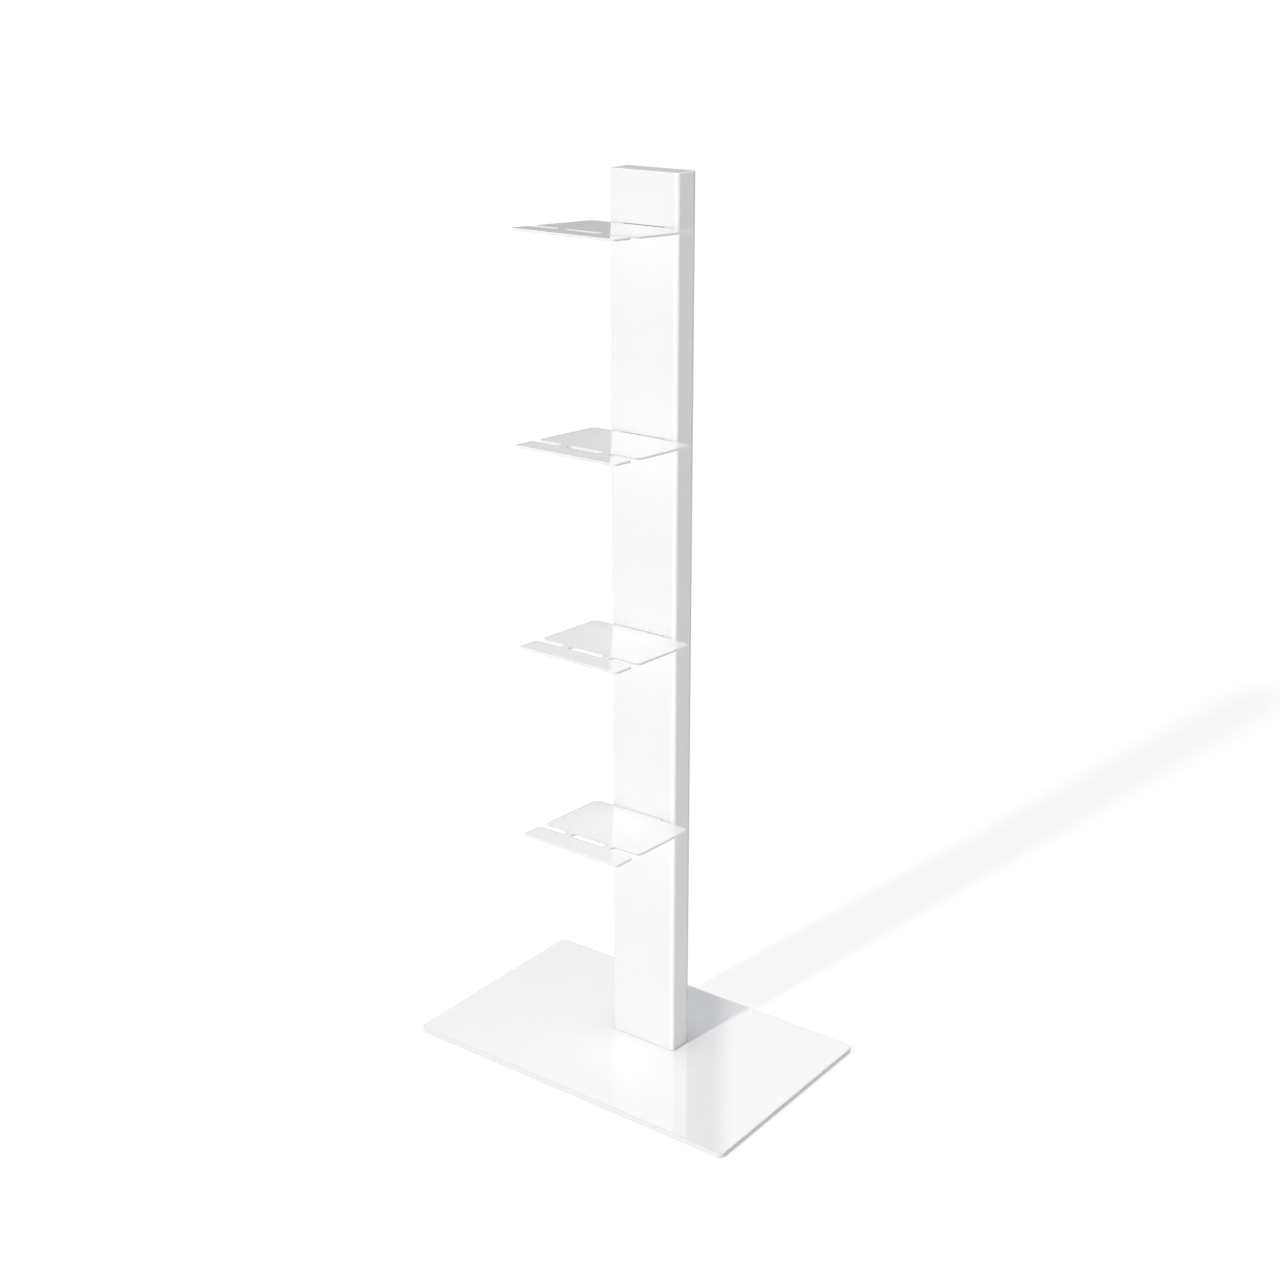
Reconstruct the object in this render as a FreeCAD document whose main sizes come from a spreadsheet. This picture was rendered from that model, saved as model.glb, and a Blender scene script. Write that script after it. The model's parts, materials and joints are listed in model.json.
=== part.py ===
import FreeCAD, Part
import math
import os
import Sketcher
from FreeCAD import Placement, Rotation, Vector

# A free-standing tree bookshelf: a steel base plate, a slim hollow column and sheet-steel shelves
# that plug into the front of the column. The strip in front of each shelf's slotted line folds up.
# Frame: +Z is up, the shelves face -Y, and the origin is on the floor under the middle of the plate.

shelf_count = 4

# Driving sizes in millimetres. shelf_tilt is in degrees.
driving_sizes = {
    "base_width": 370,
    "base_depth": 230,
    "base_thickness": 5,
    "base_corner_radius": 6.5,
    "base_edge_radius": 1.2,
    "pad_diameter": 24,
    "pad_thickness": 1.2,
    "pad_inset": 22,  # plate's edge to the middle of a pad
    "column_width": 74,
    "column_depth": 26,
    "column_wall": 2,
    "column_edge_radius": 3,
    "column_rim_radius": 0.8,
    "column_offset": 11,  # column's middle to the right of the plate's middle
    "column_front": 1,  # column's front face ahead of the plate's middle
    "column_top": 46,  # rear edge of the top shelf to the column's end
    "cap_thickness": 3,
    "foot_screw_height": 16,  # plate's top to the screws that hold the foot block
    "foot_cover": 10,  # those screws to the block's upper end
    "lowest_shelf": 248.4,  # plate's top to the rear edge of the lowest shelf
    "shelf_pitch": 185.2,
    "shelf_width": 110.5,
    "shelf_depth": 111.5,
    "shelf_thickness": 2,
    "shelf_corner_radius": 7.5,  # the two rear corners
    "shelf_gap": 1.5,  # column's front face to a shelf's rear edge
    "shelf_tilt": 3,
    "flap_depth": 24.7,  # slotted line's front edge to the shelf's front edge
    "fold_slot_width": 8,
    "fold_slot_length": 38,  # the closed slot in the middle of the line
    "fold_bridge": 7.5,  # metal left between two slots
    "slot_mouth_radius": 5,  # corners where the side slots run out
    "flap_corner_radius": 4,  # the two front corners
    "tongue_width": 44,
    "socket_height": 18,
    "socket_back": 6,  # what is left behind the end of a tongue
    "fit_clearance": 0.2,  # blocks inside the column
    "slide_clearance": 0.25,  # tongue in its slot, each side
    "screw_clearance": 0.2,  # screw in a plain hole, each side
    "thread_clearance": 0.05,  # screw in a tapped hole, each side
    "tap_runout": 1.5,  # tapped hole beyond the screw's end
    "base_screw_diameter": 5,
    "base_screw_grip": 12,  # thread inside the foot block
    "base_screw_head_diameter": 9,
    "base_screw_head_height": 2.4,
    "base_screw_recess": 0.3,  # head above the plate's underside
    "base_screw_key": 3,
    "base_screw_spacing": 40,  # across the column
    "base_screw_head_gap": 1.6,  # between two heads, front to back
    "column_screw_diameter": 4,
    "column_screw_length": 12,
    "column_screw_head_diameter": 7.6,
    "column_screw_head_height": 2.2,
    "column_screw_key": 2.5,
}

doc = FreeCAD.newDocument("TreeBookshelf")
sheet = doc.addObject("Spreadsheet::Sheet", "Sizes")
for row, (alias, number) in enumerate(driving_sizes.items(), start=1):
    sheet.set(f"A{row}", alias)
    sheet.set(f"B{row}", str(number))
    sheet.setAlias(f"B{row}", alias)
doc.recompute()

# Sizes that follow from the driving ones, as expressions.
plate_top = "(Sizes.pad_thickness + Sizes.base_thickness)"
column_height = f"(Sizes.lowest_shelf + {shelf_count - 1} * Sizes.shelf_pitch + Sizes.column_top)"
inner_width = "(Sizes.column_width - 2 * Sizes.column_wall)"
inner_back = "(Sizes.column_depth - Sizes.column_wall)"
inner_radius = "max(Sizes.column_edge_radius - Sizes.column_wall; Sizes.fit_clearance)"
block_width = f"({inner_width} - 2 * Sizes.fit_clearance)"
block_front = "(Sizes.column_wall + Sizes.fit_clearance)"
block_radius = f"({inner_radius} + Sizes.fit_clearance)"
block_middle = f"(({block_front} + {inner_back}) / 2)"
tongue_length = f"(Sizes.shelf_gap + {inner_back} - Sizes.socket_back)"
fold_line = "(Sizes.shelf_depth - Sizes.flap_depth - Sizes.fold_slot_width / 2)"
socket_drop = (
    "((Sizes.shelf_gap + Sizes.column_depth / 2) * tan(Sizes.shelf_tilt) + Sizes.shelf_thickness / 2)"
)
column_screw_side = f"(({block_width} + Sizes.tongue_width) / 4 + Sizes.slide_clearance / 2)"
column_tap_depth = "(Sizes.column_screw_length - Sizes.column_wall + Sizes.tap_runout)"
base_screw_side = "(Sizes.base_screw_spacing / 2)"
base_screw_row = "((Sizes.base_screw_head_diameter + Sizes.base_screw_head_gap) / 2)"
through_wall = "2 * Sizes.column_wall"
through_sheet = "4 * Sizes.shelf_thickness"


def shelf_height(number):
    return f"(Sizes.lowest_shelf + {number} * Sizes.shelf_pitch)"


def value(expression):
    return float(sheet.evalExpression(expression))


def bind(sketch, constraint, expression):
    index = sketch.addConstraint(constraint)
    sketch.setExpression(f"Constraints[{index}]", expression)


def place_point(sketch, direction, curve, end, expression):
    # Distance of a curve's end from the sketch's origin. A fixed zero is a point on the axis.
    if expression == "0":
        axis = -2 if direction == "X" else -1
        sketch.addConstraint(Sketcher.Constraint("PointOnObject", curve, end, axis))
    else:
        constraint = Sketcher.Constraint(f"Distance{direction}", -1, 1, curve, end, value(expression))
        bind(sketch, constraint, expression)


def origin_feature(body, role):
    return next(feature for feature in body.Origin.OriginFeatures if feature.Role == role)


def new_body(label, place):
    body = doc.addObject("PartDesign::Body", label)
    body.Label = label
    for axis, expression in zip("xyz", place):
        body.setExpression(f"Placement.Base.{axis}", expression)
    return body


def new_sketch(body, name, role="XY_Plane", lift="0"):
    sketch = body.newObject("Sketcher::SketchObject", f"{body.Name}_{name}")
    sketch.AttachmentSupport = [(origin_feature(body, role), "")]
    sketch.MapMode = "FlatFace"
    sketch.setExpression("AttachmentOffset.Base.z", lift)
    return sketch


def draw_rectangle(sketch, left, right, low, high):
    x0, x1, y0, y1 = (value(side) for side in (left, right, low, high))
    corners = [Vector(x0, y0), Vector(x1, y0), Vector(x1, y1), Vector(x0, y1)]
    first = sketch.GeometryCount
    for index in range(4):
        sketch.addGeometry(Part.LineSegment(corners[index], corners[(index + 1) % 4]))
    for index in range(4):
        joined = first + (index + 1) % 4
        sketch.addConstraint(Sketcher.Constraint("Coincident", first + index, 2, joined, 1))
        kind = "Vertical" if index % 2 else "Horizontal"
        sketch.addConstraint(Sketcher.Constraint(kind, first + index))
    place_point(sketch, "X", first, 1, left)
    place_point(sketch, "Y", first, 1, low)
    place_point(sketch, "X", first + 2, 1, right)
    place_point(sketch, "Y", first + 2, 1, high)


def draw_rounded_rectangle(sketch, left, right, low, high, radius):
    x0, x1, y0, y1, corner = (value(side) for side in (left, right, low, high, radius))
    up = Vector(0, 0, 1)
    sides = [
        (Vector(x0 + corner, y0), Vector(x1 - corner, y0)),
        (Vector(x1, y0 + corner), Vector(x1, y1 - corner)),
        (Vector(x1 - corner, y1), Vector(x0 + corner, y1)),
        (Vector(x0, y1 - corner), Vector(x0, y0 + corner)),
    ]
    centres = [
        Vector(x1 - corner, y0 + corner),
        Vector(x1 - corner, y1 - corner),
        Vector(x0 + corner, y1 - corner),
        Vector(x0 + corner, y0 + corner),
    ]
    quarter = math.pi / 2
    first = sketch.GeometryCount
    for index in range(4):
        sketch.addGeometry(Part.LineSegment(*sides[index]))
        circle = Part.Circle(centres[index], up, corner)
        sketch.addGeometry(Part.ArcOfCircle(circle, (index - 1) * quarter, index * quarter))
    for index in range(4):
        line = first + 2 * index
        arc = line + 1
        next_line = first + 2 * ((index + 1) % 4)
        sketch.addConstraint(Sketcher.Constraint("Tangent", line, 2, arc, 1))
        sketch.addConstraint(Sketcher.Constraint("Tangent", arc, 2, next_line, 1))
        kind = "Vertical" if index % 2 else "Horizontal"
        sketch.addConstraint(Sketcher.Constraint(kind, line))
        if index:
            sketch.addConstraint(Sketcher.Constraint("Equal", first + 1, arc))
    bind(sketch, Sketcher.Constraint("Radius", first + 1, corner), radius)
    place_point(sketch, "Y", first, 1, low)
    place_point(sketch, "X", first + 2, 1, right)
    place_point(sketch, "Y", first + 4, 1, high)
    place_point(sketch, "X", first + 6, 1, left)


def draw_slot(sketch, left, right, middle, width):
    # Round-ended slot along X. left and right are the middles of its two round ends.
    x0, x1, y, radius = value(left), value(right), value(middle), value(width) / 2
    up = Vector(0, 0, 1)
    first = sketch.GeometryCount
    sketch.addGeometry(Part.LineSegment(Vector(x0, y - radius), Vector(x1, y - radius)))
    right_circle = Part.Circle(Vector(x1, y), up, radius)
    sketch.addGeometry(Part.ArcOfCircle(right_circle, -math.pi / 2, math.pi / 2))
    sketch.addGeometry(Part.LineSegment(Vector(x1, y + radius), Vector(x0, y + radius)))
    left_circle = Part.Circle(Vector(x0, y), up, radius)
    sketch.addGeometry(Part.ArcOfCircle(left_circle, math.pi / 2, 3 * math.pi / 2))
    for index in range(4):
        joined = first + (index + 1) % 4
        sketch.addConstraint(Sketcher.Constraint("Tangent", first + index, 2, joined, 1))
    sketch.addConstraint(Sketcher.Constraint("Equal", first + 1, first + 3))
    sketch.addConstraint(Sketcher.Constraint("Horizontal", first))
    bind(sketch, Sketcher.Constraint("Radius", first + 1, radius), f"{width} / 2")
    place_point(sketch, "X", first + 1, 3, right)
    place_point(sketch, "Y", first + 1, 3, middle)
    place_point(sketch, "X", first + 3, 3, left)


def draw_circles(sketch, centres, diameter):
    for x, y in centres:
        radius = value(diameter) / 2
        circle = Part.Circle(Vector(value(x), value(y)), Vector(0, 0, 1), radius)
        index = sketch.addGeometry(circle)
        bind(sketch, Sketcher.Constraint("Diameter", index, 2 * radius), diameter)
        place_point(sketch, "X", index, 3, x)
        place_point(sketch, "Y", index, 3, y)


def pad(body, sketch, length, reverse=False, symmetric=False):
    feature = body.newObject("PartDesign::Pad", f"{sketch.Name}_pad")
    feature.Profile = sketch
    feature.setExpression("Length", length)
    feature.Reversed = reverse
    feature.SideType = "Symmetric" if symmetric else "One side"
    doc.recompute()
    return feature


def require_cut(body, feature, volume_before):
    if feature.Shape.Volume >= volume_before:
        raise RuntimeError(f"{feature.Name} cuts nothing from {body.Label}")


def pocket(body, sketch, length, reverse=False, symmetric=False):
    volume_before = body.Shape.Volume
    feature = body.newObject("PartDesign::Pocket", f"{sketch.Name}_cut")
    feature.Profile = sketch
    feature.setExpression("Length", length)
    feature.Reversed = reverse
    feature.SideType = "Symmetric" if symmetric else "One side"
    doc.recompute()
    require_cut(body, feature, volume_before)
    return feature


def hole_from_below(body, sketch, diameter, depth=None, head_diameter=None, head_depth=None):
    # Flat-ended hole that goes up from the sketch, right through where no depth is given.
    doc.recompute()
    volume_before = body.Shape.Volume
    feature = body.newObject("PartDesign::Hole", f"{sketch.Name}_hole")
    feature.Profile = sketch
    doc.recompute()
    feature.Reversed = True
    feature.DrillPoint = "Flat"
    feature.setExpression("Diameter", diameter)
    if depth:
        feature.DepthType = "Dimension"
        feature.setExpression("Depth", depth)
    else:
        feature.DepthType = "ThroughAll"
    if head_diameter:
        feature.HoleCutType = "Counterbore"
        feature.HoleCutCustomValues = True
        feature.setExpression("HoleCutDiameter", head_diameter)
        feature.setExpression("HoleCutDepth", head_depth)
    doc.recompute()
    require_cut(body, feature, volume_before)
    return feature


def repeat_upwards(body, feature):
    # One copy of a cut for each shelf, a pitch apart.
    pattern = body.newObject("PartDesign::LinearPattern", f"{feature.Name}_copies")
    pattern.Originals = [feature]
    pattern.Direction = (origin_feature(body, "Z_Axis"), [""])
    pattern.setExpression("Length", f"{shelf_count - 1} * Sizes.shelf_pitch")
    pattern.Occurrences = shelf_count
    body.Tip = pattern
    doc.recompute()
    return pattern


def fillet(body, base, chosen, radius):
    # chosen says which of the base's edges are rounded.
    names = [f"Edge{index}" for index, edge in enumerate(base.Shape.Edges, start=1) if chosen(edge)]
    if not names:
        raise RuntimeError(f"no edge to round on {body.Label}")
    feature = body.newObject("PartDesign::Fillet", f"{base.Name}_fillet")
    feature.Base = (base, names)
    feature.setExpression("Radius", radius)
    doc.recompute()
    return feature


tolerance = 1e-6


def edge_at_height(height):
    def chosen(edge):
        return all(abs(vertex.Z - height) < tolerance for vertex in edge.Vertexes)

    return chosen


def upright_edge_at(points):
    def chosen(edge):
        ends = [vertex.Point for vertex in edge.Vertexes]
        if len(ends) != 2 or abs(ends[0].z - ends[1].z) < tolerance:
            return False
        return any(all(abs(p.x - x) + abs(p.y - y) < tolerance for p in ends) for x, y in points)

    return chosen


def in_column(x, y, z):
    # A point given from the middle of the column's front face at its foot, in the part's frame.
    return f"Sizes.column_offset + {x}", f"{y} - Sizes.column_front", f"{plate_top} + {z}"


def rear_edge(number):
    return in_column("0", "-Sizes.shelf_gap", shelf_height(number))


def screw_pair(height):
    # The two screws at one height of the column's rear wall.
    return [(f"-{column_screw_side}", height), (column_screw_side, height)]


# The base screws stand round the middle of the foot block, given from the column's front face.
base_screw_places = [
    (f"{left_or_right}{base_screw_side}", f"{block_middle} {front_or_back} {base_screw_row}")
    for left_or_right in ("-", "")
    for front_or_back in ("-", "+")
]


def make_base_plate():
    body = new_body("base_plate", ("0", "0", "Sizes.pad_thickness"))
    outline = new_sketch(body, "outline")
    draw_rounded_rectangle(
        outline,
        "-Sizes.base_width / 2",
        "Sizes.base_width / 2",
        "-Sizes.base_depth / 2",
        "Sizes.base_depth / 2",
        "Sizes.base_corner_radius",
    )
    plate = pad(body, outline, "Sizes.base_thickness")
    top = value("Sizes.base_thickness")
    fillet(body, plate, edge_at_height(top), "Sizes.base_edge_radius")
    screw_points = new_sketch(body, "screw_holes")
    draw_circles(
        screw_points,
        [in_column(x, y, "0")[:2] for x, y in base_screw_places],
        "Sizes.base_screw_diameter",
    )
    hole_from_below(
        body,
        screw_points,
        "Sizes.base_screw_diameter + 2 * Sizes.screw_clearance",
        head_diameter="Sizes.base_screw_head_diameter + 2 * Sizes.screw_clearance",
        head_depth="Sizes.base_screw_head_height + Sizes.base_screw_recess",
    )
    return body


def make_floor_pad(label, x, y):
    disc = doc.addObject("Part::Cylinder", label)
    disc.Label = label
    disc.setExpression("Radius", "Sizes.pad_diameter / 2")
    disc.setExpression("Height", "Sizes.pad_thickness")
    disc.setExpression("Placement.Base.x", x)
    disc.setExpression("Placement.Base.y", y)
    return disc


def make_column():
    body = new_body("column", in_column("0", "0", "0"))
    section = new_sketch(body, "section")
    draw_rounded_rectangle(
        section,
        "-Sizes.column_width / 2",
        "Sizes.column_width / 2",
        "0",
        "Sizes.column_depth",
        "Sizes.column_edge_radius",
    )
    draw_rounded_rectangle(
        section,
        f"-{inner_width} / 2",
        f"{inner_width} / 2",
        "Sizes.column_wall",
        inner_back,
        inner_radius,
    )
    tube = pad(body, section, column_height)
    end = edge_at_height(value(column_height))
    reach = value(f"{inner_width} / 2")
    depth = value(inner_back)
    wall = value("Sizes.column_wall")

    def outer_rim(edge):
        middle = edge.valueAt((edge.FirstParameter + edge.LastParameter) / 2)
        inside = abs(middle.x) < reach + tolerance and wall - tolerance < middle.y < depth + tolerance
        return end(edge) and not inside

    fillet(body, tube, outer_rim, "Sizes.column_rim_radius")

    # A level slot that a tilted tongue passes through with room above and below.
    slot = new_sketch(body, "tongue_slot", "XZ_Plane")
    slope = "tan(Sizes.shelf_tilt)"
    upright_thickness = "Sizes.shelf_thickness / cos(Sizes.shelf_tilt)"
    deepest = f"((Sizes.shelf_gap + Sizes.column_wall) * {slope} + {upright_thickness})"
    draw_rectangle(
        slot,
        "-Sizes.tongue_width / 2 - Sizes.slide_clearance",
        "Sizes.tongue_width / 2 + Sizes.slide_clearance",
        f"Sizes.lowest_shelf - {deepest} - Sizes.slide_clearance",
        f"Sizes.lowest_shelf - Sizes.shelf_gap * {slope} + Sizes.slide_clearance",
    )
    repeat_upwards(body, pocket(body, slot, through_wall))

    plain_hole = "Sizes.column_screw_diameter + 2 * Sizes.screw_clearance"
    socket_holes = new_sketch(body, "socket_holes", "XZ_Plane", f"-{inner_back}")
    draw_circles(socket_holes, screw_pair(f"Sizes.lowest_shelf - {socket_drop}"), plain_hole)
    repeat_upwards(body, pocket(body, socket_holes, through_wall))

    foot_holes = new_sketch(body, "foot_holes", "XZ_Plane", f"-{inner_back}")
    draw_circles(foot_holes, screw_pair("Sizes.foot_screw_height"), plain_hole)
    body.Tip = pocket(body, foot_holes, through_wall)
    return body


def make_top_cap():
    body = new_body("top_cap", in_column("0", "0", f"{column_height} - Sizes.cap_thickness"))
    outline = new_sketch(body, "outline")
    draw_rounded_rectangle(
        outline,
        f"-{inner_width} / 2",
        f"{inner_width} / 2",
        "Sizes.column_wall",
        inner_back,
        inner_radius,
    )
    pad(body, outline, "Sizes.cap_thickness")
    return body


def tap_from_back(body, back, height):
    # Two blind holes for the screws that come through the column's rear wall.
    holes = new_sketch(body, "tapped_holes", "XZ_Plane", f"-({back})")
    tapped = "Sizes.column_screw_diameter + 2 * Sizes.thread_clearance"
    draw_circles(holes, screw_pair(height), tapped)
    pocket(body, holes, column_tap_depth, reverse=True)


def make_foot_block():
    body = new_body("foot_block", in_column("0", "0", "0"))
    outline = new_sketch(body, "outline")
    draw_rounded_rectangle(
        outline,
        f"-{block_width} / 2",
        f"{block_width} / 2",
        block_front,
        inner_back,
        block_radius,
    )
    pad(body, outline, "Sizes.foot_screw_height + Sizes.foot_cover")
    screw_points = new_sketch(body, "base_screw_holes")
    draw_circles(screw_points, base_screw_places, "Sizes.base_screw_diameter")
    hole_from_below(
        body,
        screw_points,
        "Sizes.base_screw_diameter + 2 * Sizes.thread_clearance",
        depth="Sizes.base_screw_grip + Sizes.tap_runout",
    )
    tap_from_back(body, inner_back, "Sizes.foot_screw_height")
    return body


def make_shelf_socket(number):
    # Block inside the column with a blind slot that slopes as the shelf does.
    body = new_body(f"shelf_socket_{number + 1}", rear_edge(number))
    back = f"Sizes.shelf_gap + {inner_back}"
    outline = new_sketch(body, "outline", lift=f"-{socket_drop}")
    draw_rounded_rectangle(
        outline,
        f"-{block_width} / 2",
        f"{block_width} / 2",
        f"Sizes.shelf_gap + {block_front}",
        back,
        block_radius,
    )
    pad(body, outline, "Sizes.socket_height", symmetric=True)
    slot = new_sketch(body, "slot", "YZ_Plane")
    slot.AttachmentOffset = Placement(Vector(), Rotation(Vector(0, 0, 1), -value("Sizes.shelf_tilt")))
    slot.setExpression("AttachmentOffset.Rotation.Angle", "-Sizes.shelf_tilt")
    draw_rectangle(
        slot,
        "0",
        tongue_length,
        "-Sizes.shelf_thickness - Sizes.slide_clearance",
        "Sizes.slide_clearance",
    )
    pocket(body, slot, "Sizes.tongue_width + 2 * Sizes.slide_clearance", symmetric=True)
    tap_from_back(body, back, f"-{socket_drop}")
    return body


def make_sheet(label, number, waste_front, waste_back):
    # One whole shelf as cut from the sheet, less what lies from waste_front to waste_back.
    # Its own frame has the rear edge of the upper face on X, and the shelf reaches towards -Y.
    body = new_body(label, rear_edge(number))
    body.Placement = Placement(Vector(), Rotation(Vector(1, 0, 0), -value("Sizes.shelf_tilt")))
    body.setExpression("Placement.Rotation.Angle", "-Sizes.shelf_tilt")
    outline = new_sketch(body, "outline")
    draw_rectangle(outline, "-Sizes.shelf_width / 2", "Sizes.shelf_width / 2", "-Sizes.shelf_depth", "0")
    pad(body, outline, "Sizes.shelf_thickness", reverse=True)

    # The slotted line: a closed slot between two that run out of the shelf's sides.
    slots = new_sketch(body, "fold_slots")
    round_end = "Sizes.fold_slot_width / 2"
    inner_end = f"(Sizes.fold_slot_length / 2 - {round_end})"
    outer_end = f"(Sizes.fold_slot_length / 2 + Sizes.fold_bridge + {round_end})"
    beyond = "(Sizes.shelf_width / 2 + Sizes.fold_slot_width)"
    for left, right in (
        (f"-{inner_end}", inner_end),
        (outer_end, beyond),
        (f"-{beyond}", f"-{outer_end}"),
    ):
        draw_slot(slots, left, right, f"-{fold_line}", "Sizes.fold_slot_width")
    rounded = pocket(body, slots, through_sheet, symmetric=True)
    side = value("Sizes.shelf_width / 2")
    for corner_radius, rows in (
        ("Sizes.shelf_corner_radius", ("0",)),
        ("Sizes.slot_mouth_radius", (f"-{fold_line} + {round_end}", f"-{fold_line} - {round_end}")),
        ("Sizes.flap_corner_radius", ("-Sizes.shelf_depth",)),
    ):
        corners = [(x, value(y)) for x in (-side, side) for y in rows]
        rounded = fillet(body, rounded, upright_edge_at(corners), corner_radius)

    waste = new_sketch(body, "waste")
    draw_rectangle(waste, "-Sizes.shelf_width", "Sizes.shelf_width", waste_front, waste_back)
    pocket(body, waste, through_sheet, symmetric=True)
    return body


def make_shelf(number):
    body = make_sheet(f"shelf_{number + 1}", number, "-2 * Sizes.shelf_depth", f"-{fold_line}")
    tongue = new_sketch(body, "tongue")
    draw_rectangle(
        tongue,
        "-Sizes.tongue_width / 2",
        "Sizes.tongue_width / 2",
        "-Sizes.shelf_corner_radius",
        tongue_length,
    )
    pad(body, tongue, "Sizes.shelf_thickness", reverse=True)
    return body


def make_front_flap(number):
    return make_sheet(f"front_flap_{number + 1}", number, f"-{fold_line}", "Sizes.shelf_depth")


def make_screw(name, kind, length, turn, place):
    # Cap screw with a hexagon recess. Its own frame has the head's seat on XY and the shank below.
    shank = doc.addObject("Part::Cylinder", f"{name}_shank")
    shank.setExpression("Radius", f"Sizes.{kind}_diameter / 2")
    shank.setExpression("Height", length)
    shank.setExpression("Placement.Base.z", f"-({length})")
    head = doc.addObject("Part::Cylinder", f"{name}_head")
    head.setExpression("Radius", f"Sizes.{kind}_head_diameter / 2")
    head.setExpression("Height", f"Sizes.{kind}_head_height")
    whole = doc.addObject("Part::Fuse", f"{name}_whole")
    whole.Base = head
    whole.Tool = shank
    recess = doc.addObject("Part::Prism", f"{name}_recess")
    recess.Polygon = 6
    recess.setExpression("Circumradius", f"Sizes.{kind}_key / 2 / cos(30 deg)")
    recess.setExpression("Height", f"Sizes.{kind}_head_height")
    recess.setExpression("Placement.Base.z", f"Sizes.{kind}_head_height / 3")
    screw = doc.addObject("Part::Cut", name)
    screw.Base = whole
    screw.Tool = recess
    screw.Placement = Placement(Vector(), turn)
    for axis, expression in zip("xyz", place):
        screw.setExpression(f"Placement.Base.{axis}", expression)
    return screw


def group(label, members):
    compound = doc.addObject("Part::Compound", label)
    compound.Label = label
    compound.Links = members
    return compound


def make_base_screws():
    # Heads in the plate's underside, threads up in the foot block.
    head_down = Rotation(Vector(1, 0, 0), 180)
    seat = "Sizes.pad_thickness + Sizes.base_screw_head_height + Sizes.base_screw_recess"
    length = f"{plate_top} - ({seat}) + Sizes.base_screw_grip"
    screws = []
    for number, (x, y) in enumerate(base_screw_places, start=1):
        across, along, _ = in_column(x, y, "0")
        place = (across, along, seat)
        screws.append(make_screw(f"base_screw_{number}", "base_screw", length, head_down, place))
    return group("base_screws", screws)


def make_column_screws():
    # A pair through the column's rear wall into the foot block and into each socket.
    head_back = Rotation(Vector(1, 0, 0), -90)
    heights = ["Sizes.foot_screw_height"]
    heights += [f"{shelf_height(number)} - {socket_drop}" for number in range(shelf_count)]
    points = [point for height in heights for point in screw_pair(height)]
    length = "Sizes.column_screw_length"
    screws = []
    for number, (x, z) in enumerate(points, start=1):
        place = in_column(x, "Sizes.column_depth", z)
        screws.append(make_screw(f"column_screw_{number}", "column_screw", length, head_back, place))
    return group("column_screws", screws)


nodes = [
    make_base_plate(),
    make_column(),
    make_top_cap(),
    make_foot_block(),
    make_base_screws(),
    make_column_screws(),
]
pad_x = "(Sizes.base_width / 2 - Sizes.pad_inset)"
pad_y = "(Sizes.base_depth / 2 - Sizes.pad_inset)"
for end_name, end_y in (("front", f"-{pad_y}"), ("back", pad_y)):
    for side_name, side_x in (("left", f"-{pad_x}"), ("right", pad_x)):
        nodes.append(make_floor_pad(f"floor_pad_{end_name}_{side_name}", side_x, end_y))
for shelf_number in range(shelf_count):
    nodes.append(make_shelf_socket(shelf_number))
    nodes.append(make_shelf(shelf_number))
    nodes.append(make_front_flap(shelf_number))
doc.recompute()

for item in doc.Objects:
    if {"Invalid", "Error"} & set(item.State):
        raise RuntimeError(f"{item.Name} failed: {item.State}")
for node in nodes:
    if node.Shape.isNull() or not node.Shape.isValid():
        raise RuntimeError(f"{node.Label} has no valid shape")

os.makedirs("parts", exist_ok=True)
for node in nodes:
    node.Shape.exportStep(f"parts/{node.Label}.step")
    box = node.Shape.BoundBox
    print(
        f"{node.Label}: {len(node.Shape.Solids)} solid(s), {node.Shape.Volume:.1f} mm3,",
        f"x {box.XMin:.2f} to {box.XMax:.2f}, y {box.YMin:.2f} to {box.YMax:.2f},",
        f"z {box.ZMin:.2f} to {box.ZMax:.2f}",
    )
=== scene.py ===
import json
import math
import bmesh
import bpy
import numpy as np
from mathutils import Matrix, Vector


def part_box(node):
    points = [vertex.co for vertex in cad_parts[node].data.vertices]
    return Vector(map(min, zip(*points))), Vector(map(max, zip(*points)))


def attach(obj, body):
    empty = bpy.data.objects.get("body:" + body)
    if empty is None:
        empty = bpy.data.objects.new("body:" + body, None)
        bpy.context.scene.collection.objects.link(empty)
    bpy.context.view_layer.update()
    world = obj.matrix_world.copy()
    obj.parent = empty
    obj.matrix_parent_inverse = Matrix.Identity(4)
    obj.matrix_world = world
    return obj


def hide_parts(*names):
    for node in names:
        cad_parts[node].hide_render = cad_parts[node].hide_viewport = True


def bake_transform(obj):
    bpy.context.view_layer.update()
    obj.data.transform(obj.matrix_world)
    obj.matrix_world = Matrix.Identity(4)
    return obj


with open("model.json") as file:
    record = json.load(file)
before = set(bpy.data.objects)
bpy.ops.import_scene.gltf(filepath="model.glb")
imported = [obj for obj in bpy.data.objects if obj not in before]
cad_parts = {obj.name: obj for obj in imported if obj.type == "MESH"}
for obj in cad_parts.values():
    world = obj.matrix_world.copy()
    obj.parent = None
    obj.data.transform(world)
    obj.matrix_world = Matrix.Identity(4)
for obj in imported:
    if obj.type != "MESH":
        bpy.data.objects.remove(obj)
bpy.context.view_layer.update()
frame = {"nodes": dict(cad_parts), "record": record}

mm = 0.001
quarterTurn = np.pi / 2
sharpAngle = math.radians(40)  # an edge that turns by more than this stays sharp
mixFirst = 6  # numbers of a Mix node's colour sockets, in
mixSecond = 7
mixResult = 2  # and out
noiseSpan = {"From Min": 0.3, "From Max": 0.7}  # where nearly all values of a noise texture lie


def nodeBox(name):
    # lowest and highest corner of a solid, in millimetres
    return np.round(np.array(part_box(name)) / mm, 3)


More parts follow.
